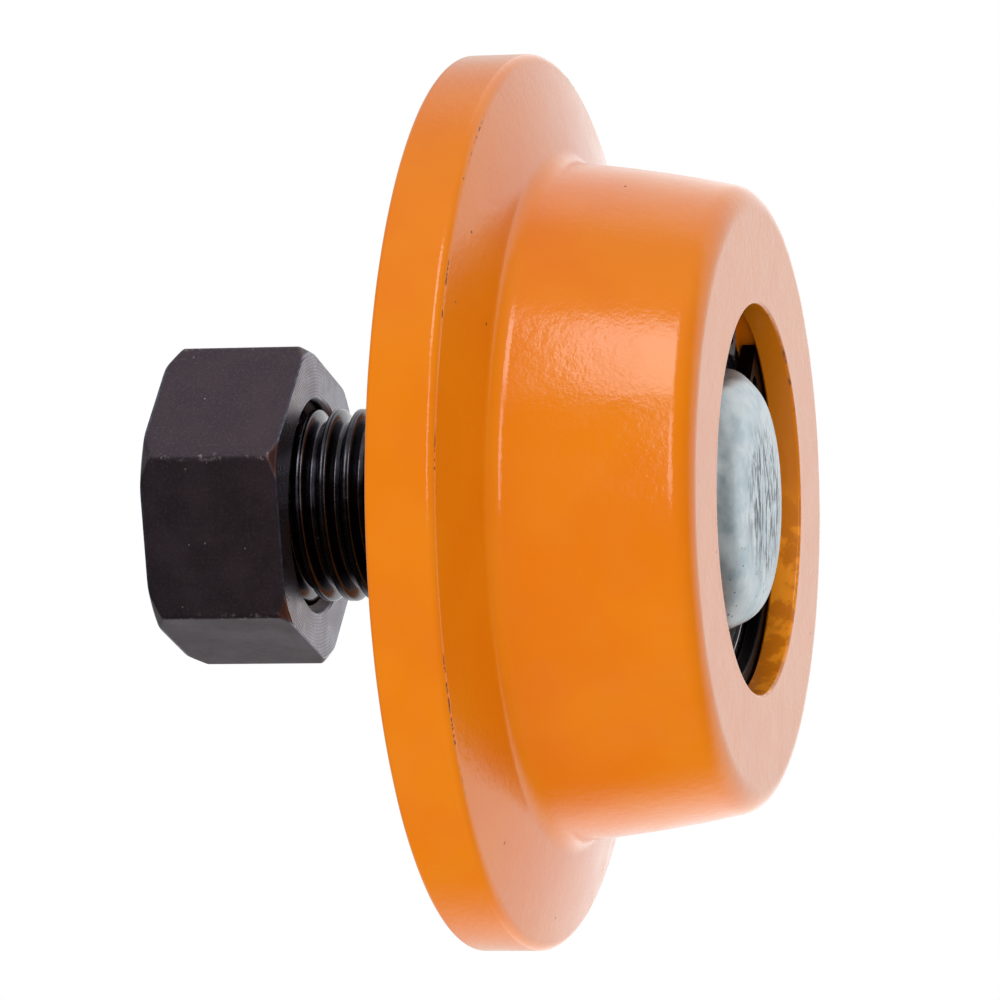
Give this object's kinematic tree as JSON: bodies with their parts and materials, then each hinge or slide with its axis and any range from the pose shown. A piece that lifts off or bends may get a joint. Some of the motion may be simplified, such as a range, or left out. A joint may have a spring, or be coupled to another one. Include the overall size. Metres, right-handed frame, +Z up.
{
  "type": "flanged track roller",
  "caption": "Flanged track roller of the stud cam-follower kind: a painted wheel on two sealed ball bearings, a hex-head axle bolt with a threaded stud, and a nut.",
  "frame": {"origin": "centre of the shoulder sleeve's end face, which the support plate is clamped against, on the axle's centre line", "axes": "+Z up; the axle lies along Y with the threaded stud and nut on the +Y side and the roller's nose outboard on the -Y side"},
  "size_m": [0.11, 0.0743, 0.11],
  "materials": {
    "wheel_paint": "orange enamel over a cast and turned wheel, semi-gloss, slightly uneven with small pinholes",
    "spring_steel": "phosphated and oiled spring steel, nearly black",
    "bolt_finish": "zinc-plated hex head, stud end black and oiled",
    "turned_steel": "turned bright steel, lightly oiled",
    "black_oxide": "black oxide with a purple-brown cast, turned end face",
    "bearing_steel": "ground and polished bearing steel",
    "seal_rubber": "black nitrile rubber, fine grain",
    "cage_nylon": "moulded natural nylon"
  },
  "bodies": {
    "axle": {"axle_bolt": "bolt_finish", "shoulder_sleeve": "turned_steel", "inboard_inner_ring": "bearing_steel", "outboard_inner_ring": "bearing_steel"},
    "wheel": {"flanged_wheel": "wheel_paint", "retaining_ring": "spring_steel", "inboard_outer_ring": "bearing_steel", "inboard_seal_outboard": "seal_rubber", "inboard_seal_inboard": "seal_rubber", "outboard_outer_ring": "bearing_steel", "outboard_seal_outboard": "seal_rubber", "outboard_seal_inboard": "seal_rubber"},
    "inboard_ball_set": {"inboard_cage": "cage_nylon", "inboard_ball_01": "bearing_steel", "inboard_ball_02": "bearing_steel", "inboard_ball_03": "bearing_steel", "inboard_ball_04": "bearing_steel", "inboard_ball_05": "bearing_steel", "inboard_ball_06": "bearing_steel", "inboard_ball_07": "bearing_steel", "inboard_ball_08": "bearing_steel", "inboard_ball_09": "bearing_steel", "inboard_ball_10": "bearing_steel"},
    "outboard_ball_set": {"outboard_cage": "cage_nylon", "outboard_ball_01": "bearing_steel", "outboard_ball_02": "bearing_steel", "outboard_ball_03": "bearing_steel", "outboard_ball_04": "bearing_steel", "outboard_ball_05": "bearing_steel", "outboard_ball_06": "bearing_steel", "outboard_ball_07": "bearing_steel", "outboard_ball_08": "bearing_steel", "outboard_ball_09": "bearing_steel", "outboard_ball_10": "bearing_steel"},
    "nut": {"hex_nut": "black_oxide"}
  },
  "joints": [
    {"name": "wheel_spin", "type": "hinge", "parent": "axle", "child": "wheel", "pos_m": [0, -0.0234, 0], "axis": [0, 1, 0], "continuous": true},
    {"name": "inboard_ball_orbit", "type": "hinge", "parent": "axle", "child": "inboard_ball_set", "pos_m": [0, -0.0169, 0], "axis": [0, 1, 0], "continuous": true},
    {"name": "outboard_ball_orbit", "type": "hinge", "parent": "axle", "child": "outboard_ball_set", "pos_m": [0, -0.0292, 0], "axis": [0, 1, 0], "continuous": true},
    {"name": "nut_travel", "type": "slide", "parent": "axle", "child": "nut", "axis": [0, 1, 0], "range_m": [-0.0146, 0.018]}
  ],
  "couplings": [
    {"joint": "inboard_ball_orbit", "follows": "wheel_spin", "ratio": 0.5882},
    {"joint": "outboard_ball_orbit", "follows": "wheel_spin", "ratio": 0.5882}
  ]
}
